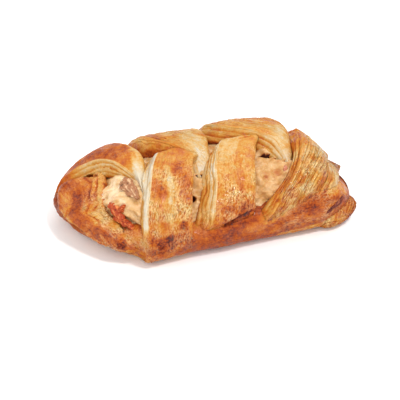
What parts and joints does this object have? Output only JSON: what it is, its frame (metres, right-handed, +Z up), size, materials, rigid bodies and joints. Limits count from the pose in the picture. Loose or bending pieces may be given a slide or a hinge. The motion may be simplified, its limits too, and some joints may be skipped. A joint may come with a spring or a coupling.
{
  "type": "bacon and cheese braided bun",
  "caption": "Baked oblong bun of flaky dough strips folded over in a mock braid, with cheese filling and bacon showing in the gaps between the strips.",
  "frame": {"origin": "on the table, in the flat underside, under the middle of the bun", "axes": "+X along the bun towards the end where the braid finishes, -Y to the front side shown in the picture, +Z up"},
  "size_m": [0.1444, 0.0754, 0.0427],
  "materials": {
    "crust": "egg-washed baked crust, golden to red-brown, pale cream on the cut layers",
    "cheese": "baked cheese, cream with toasted patches",
    "bacon": "baked bacon, red-brown lean with paler fat"
  },
  "bodies": {
    "root": {"dough": "crust", "cheese_filling": "cheese", "bacon_1": "bacon", "bacon_2": "bacon", "bacon_3": "bacon", "bacon_4": "bacon"}
  },
  "joints": []
}
